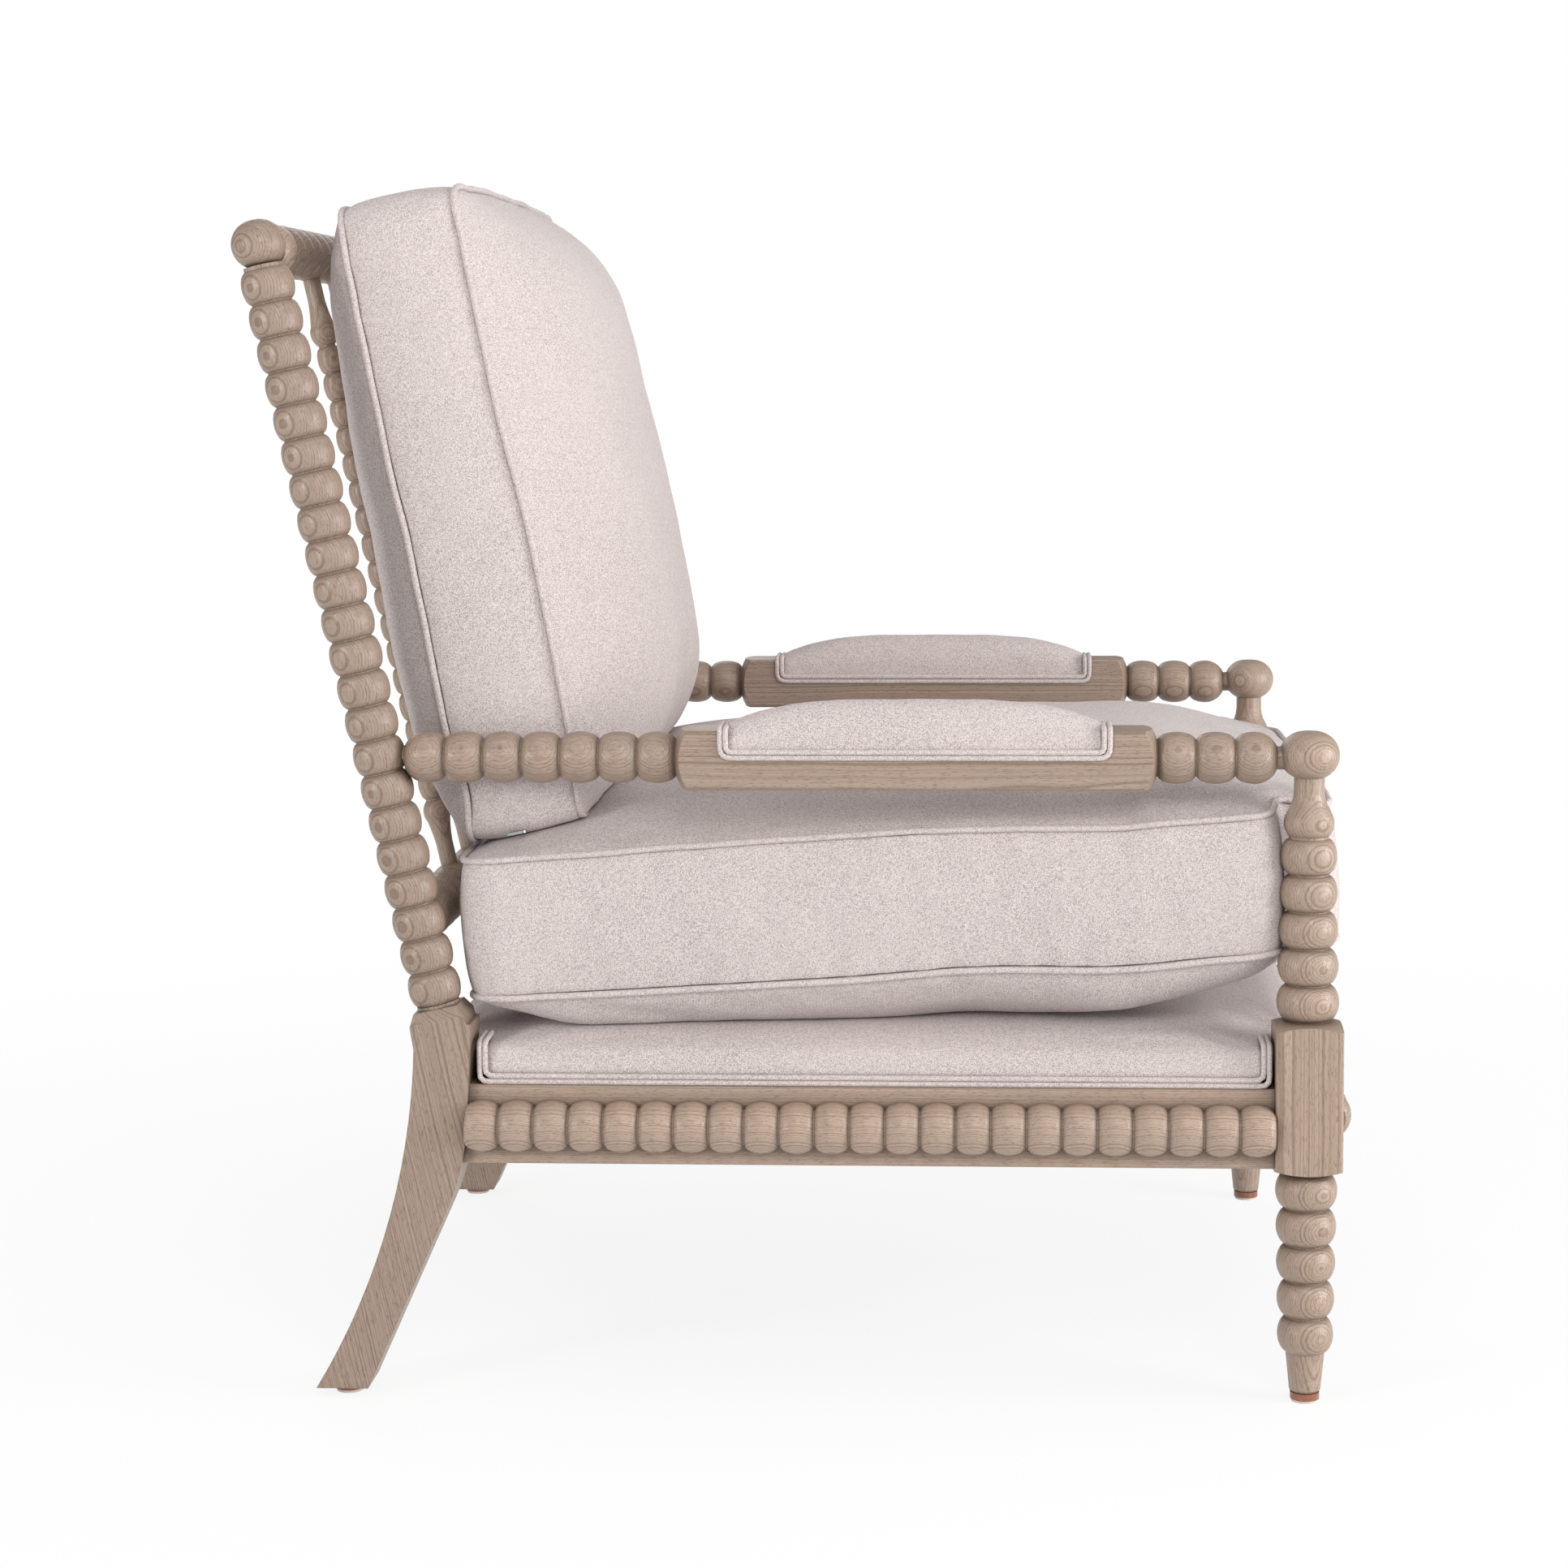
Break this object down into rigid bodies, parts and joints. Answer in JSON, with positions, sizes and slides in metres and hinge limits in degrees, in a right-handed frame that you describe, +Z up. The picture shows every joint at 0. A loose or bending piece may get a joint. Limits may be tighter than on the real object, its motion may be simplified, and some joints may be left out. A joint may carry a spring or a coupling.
{
  "type": "armchair",
  "caption": "Bobbin-turned wooden armchair with a raked spindle back, padded arms, a sprung seat deck and loose, welted seat and back cushions.",
  "frame": {"origin": "on the floor, below the middle of the bounding box", "axes": "+Z up, the chair faces -Y, +X is the sitter's left"},
  "size_m": [0.6974, 0.8738, 0.955],
  "materials": {
    "wood": "matt, weathered grey-brown",
    "wood_inside": "plain, unfinished",
    "cloth": "twill weave",
    "cloth_dark": "thin non-woven",
    "steel": "satin",
    "glide": "satin",
    "felt": "felt"
  },
  "bodies": {
    "frame": {"front_leg_left": "wood", "front_leg_right": "wood", "rear_leg_left": "wood", "rear_leg_right": "wood", "crest_rail": "wood", "lower_back_rail": "wood", "back_spindle_1": "wood", "back_spindle_2": "wood", "back_spindle_3": "wood", "back_spindle_4": "wood", "arm_left": "wood", "arm_right": "wood", "side_rail_left": "wood", "side_rail_right": "wood", "front_rail": "wood", "back_rail": "wood", "side_moulding_left": "wood", "side_moulding_right": "wood", "front_moulding": "wood", "corner_block_front_left": "wood_inside", "corner_block_front_right": "wood_inside", "corner_block_rear_left": "wood_inside", "corner_block_rear_right": "wood_inside", "corner_bolts": "steel", "rail_dowels": "wood_inside", "seat_spring_1": "steel", "seat_spring_2": "steel", "seat_spring_3": "steel", "seat_spring_4": "steel", "spring_clips": "steel", "spring_cover": "cloth_dark", "deck_pad": "cloth", "deck_welt_left": "cloth", "deck_welt_right": "cloth", "deck_welt_front": "cloth", "deck_welt_back": "cloth", "dust_cover": "cloth_dark", "arm_pad_left": "cloth", "arm_pad_right": "cloth", "arm_pad_welt_left": "cloth", "arm_pad_welt_right": "cloth", "glide_front_left": "glide", "glide_front_right": "glide", "glide_rear_left": "glide", "glide_rear_right": "glide", "felt_front_left": "felt", "felt_front_right": "felt", "felt_rear_left": "felt", "felt_rear_right": "felt", "glide_nails": "steel"},
    "seat_cushion": {"seat_cushion": "cloth", "seat_zip_pull": "steel"},
    "back_cushion": {"back_cushion": "cloth", "back_zip_pull": "steel"}
  },
  "joints": [
    {"name": "seat_cushion_lift", "type": "slide", "parent": "frame", "child": "seat_cushion", "axis": [0, 0, 1], "range_m": [0, 0.008]},
    {"name": "back_cushion_lift", "type": "slide", "parent": "seat_cushion", "child": "back_cushion", "axis": [0, 0.1846, 0.9828], "range_m": [0, 0.4]}
  ]
}
